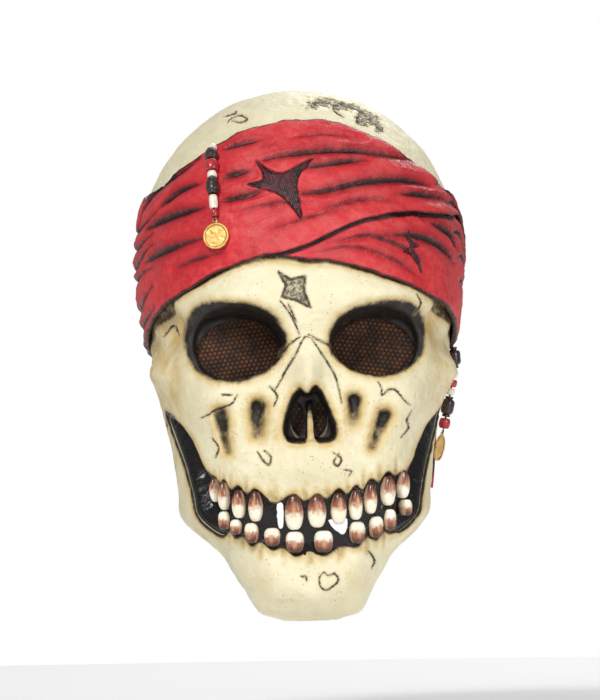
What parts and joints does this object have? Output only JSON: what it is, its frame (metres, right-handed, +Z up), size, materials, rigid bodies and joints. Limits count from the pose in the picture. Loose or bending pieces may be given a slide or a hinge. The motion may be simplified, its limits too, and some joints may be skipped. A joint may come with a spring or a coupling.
{
  "type": "latex halloween mask",
  "caption": "Overhead latex skull mask with a bandana, bead strands, see-through mesh in the eyes and nose, and a jaw that flexes.",
  "frame": {"origin": "the point inside the crown that rests on the top of the wearer's head", "axes": "+X to the wearer's left, -Y out of the face, +Z up"},
  "size_m": [0.2132, 0.2502, 0.3418],
  "materials": {
    "bone_latex": "matt painted latex with a brown wash in the pits and cracks",
    "black_latex": "glossy black painted latex",
    "tooth_latex": "glossy ivory with brown roots",
    "red_latex": "satin red latex with a cloth grain and a black wash in the folds",
    "eye_mesh": "perforated dark mesh",
    "cord": "waxed dark cord",
    "bead_white": "gloss",
    "bead_dark": "gloss",
    "bead_red": "gloss",
    "coin_metal": "worn gold colour with a dark rim",
    "ring_wire": "dull wire"
  },
  "bodies": {
    "skull": {"skull_skin": "bone_latex", "mouth_lining": "black_latex", "upper_teeth": "tooth_latex", "eye_mesh_right": "eye_mesh", "eye_mesh_left": "eye_mesh", "nose_mesh": "eye_mesh", "bandana_wrap": "red_latex", "bandana_under_fold": "red_latex", "bandana_knot": "red_latex"},
    "jaw": {"jaw_skin": "bone_latex", "lower_teeth": "tooth_latex"},
    "front_strand": {"front_cord": "cord", "front_bead_1_white": "bead_white", "front_bead_2_dark": "bead_dark", "front_bead_3_red": "bead_red", "front_bead_4_white": "bead_white", "front_bead_5_dark": "bead_dark", "front_bead_6_white": "bead_white", "front_bead_7_red": "bead_red", "front_jump_ring": "ring_wire"},
    "front_coin": {"front_coin": "coin_metal"},
    "side_strand": {"side_cord": "cord", "side_bead_1_dark": "bead_dark", "side_bead_2_white": "bead_white", "side_bead_3_red": "bead_red", "side_bead_4_white": "bead_white", "side_bead_5_dark": "bead_dark", "side_bead_6_red": "bead_red", "side_jump_ring": "ring_wire"},
    "side_coin": {"side_coin": "coin_metal"},
    "tail_long": {"bandana_tail_long": "red_latex"},
    "tail_short": {"bandana_tail_short": "red_latex"}
  },
  "joints": [
    {"name": "jaw_flex", "type": "hinge", "parent": "skull", "child": "jaw", "pos_m": [0, -0.004, -0.2022], "axis": [1, 0, 0], "range_deg": [0, 6.5], "stiffness_Nm_per_rad": 1.5, "springref_deg": -3.44, "deforming": ["mouth_lining"]},
    {"name": "front_strand_swing", "type": "hinge", "parent": "skull", "child": "front_strand", "pos_m": [-0.05634, -0.06033, -0.03359], "axis": [-0.9318, 0.3349, -0.14], "range_deg": [0, 70]},
    {"name": "front_coin_swing", "type": "hinge", "parent": "front_strand", "child": "front_coin", "pos_m": [-0.05777, -0.09595, -0.08271], "axis": [-0.9318, 0.3349, -0.14], "range_deg": [0, 60]},
    {"name": "side_strand_swing", "type": "hinge", "parent": "skull", "child": "side_strand", "pos_m": [0.0993, 0.036, -0.1636], "axis": [-0.3299, -0.9427, 0.049], "range_deg": [0, 70]},
    {"name": "side_coin_swing", "type": "hinge", "parent": "side_strand", "child": "side_coin", "pos_m": [0.09277, 0.03646, -0.22284], "axis": [-0.3299, -0.9427, 0.049], "range_deg": [0, 60]},
    {"name": "tail_long_swing", "type": "hinge", "parent": "skull", "child": "tail_long", "pos_m": [0.0911, 0.0595, -0.1806], "axis": [0, -1, 0], "range_deg": [0, 60]},
    {"name": "tail_short_swing", "type": "hinge", "parent": "skull", "child": "tail_short", "pos_m": [0.0891, 0.08, -0.1806], "axis": [0, -1, 0], "range_deg": [0, 60]}
  ]
}
